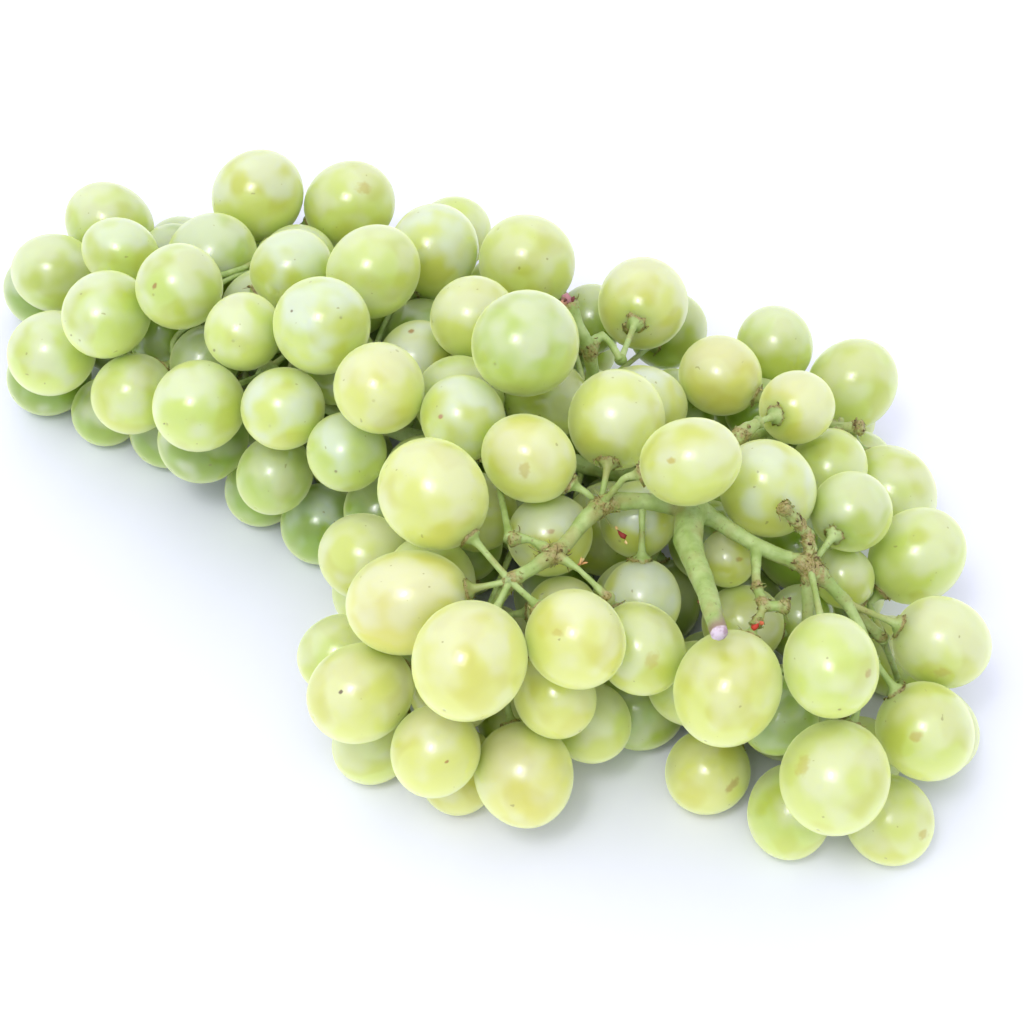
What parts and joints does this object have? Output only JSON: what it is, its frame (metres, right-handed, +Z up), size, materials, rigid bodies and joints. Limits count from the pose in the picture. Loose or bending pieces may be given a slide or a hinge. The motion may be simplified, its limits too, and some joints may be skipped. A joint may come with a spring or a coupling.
{
  "type": "bunch of grapes",
  "caption": "Bunch of white table grapes lying on its side: oval berries on a branched green stem, with a bare cut stalk at the front.",
  "frame": {"origin": "on the surface that the bunch lies on, under the middle of its bounding box", "axes": "+X along the bunch's longest side, towards its right end; +Y away from the cut stalk; +Z up"},
  "size_m": [0.239, 0.2075, 0.0823],
  "materials": {
    "grape_skin": "waxy, slightly translucent",
    "green_stem": "matt"
  },
  "bodies": {
    "root": {"berry_01": "grape_skin", "berry_02": "grape_skin", "berry_03": "grape_skin", "berry_04": "grape_skin", "berry_05": "grape_skin", "berry_06": "grape_skin", "berry_07": "grape_skin", "berry_08": "grape_skin", "berry_09": "grape_skin", "berry_10": "grape_skin", "berry_11": "grape_skin", "berry_12": "grape_skin", "berry_13": "grape_skin", "berry_14": "grape_skin", "berry_15": "grape_skin", "berry_16": "grape_skin", "berry_17": "grape_skin", "berry_18": "grape_skin", "berry_19": "grape_skin", "berry_20": "grape_skin", "berry_21": "grape_skin", "berry_22": "grape_skin", "berry_23": "grape_skin", "berry_24": "grape_skin", "berry_25": "grape_skin", "berry_five_01": "grape_skin", "berry_five_02": "grape_skin", "berry_five_03": "grape_skin", "berry_five_04": "grape_skin", "berry_five_05": "grape_skin", "berry_five_06": "grape_skin", "berry_five_07": "grape_skin", "berry_five_08": "grape_skin", "berry_five_09": "grape_skin", "berry_five_10": "grape_skin", "berry_five_11": "grape_skin", "berry_five_12": "grape_skin", "berry_five_13": "grape_skin", "berry_five_14": "grape_skin", "berry_five_15": "grape_skin", "berry_five_16": "grape_skin", "berry_five_17": "grape_skin", "berry_five_18": "grape_skin", "berry_four_01": "grape_skin", "berry_four_02": "grape_skin", "berry_four_03": "grape_skin", "berry_four_04": "grape_skin", "berry_four_05": "grape_skin", "berry_four_06": "grape_skin", "berry_pair_01": "grape_skin", "berry_pair_02": "grape_skin", "berry_pair_03": "grape_skin", "berry_pair_04": "grape_skin", "berry_pair_05": "grape_skin", "berry_trio_01": "grape_skin", "berry_trio_02": "grape_skin", "berry_trio_03": "grape_skin", "berry_trio_04": "grape_skin", "berry_trio_05": "grape_skin", "stem": "green_stem"}
  },
  "joints": []
}
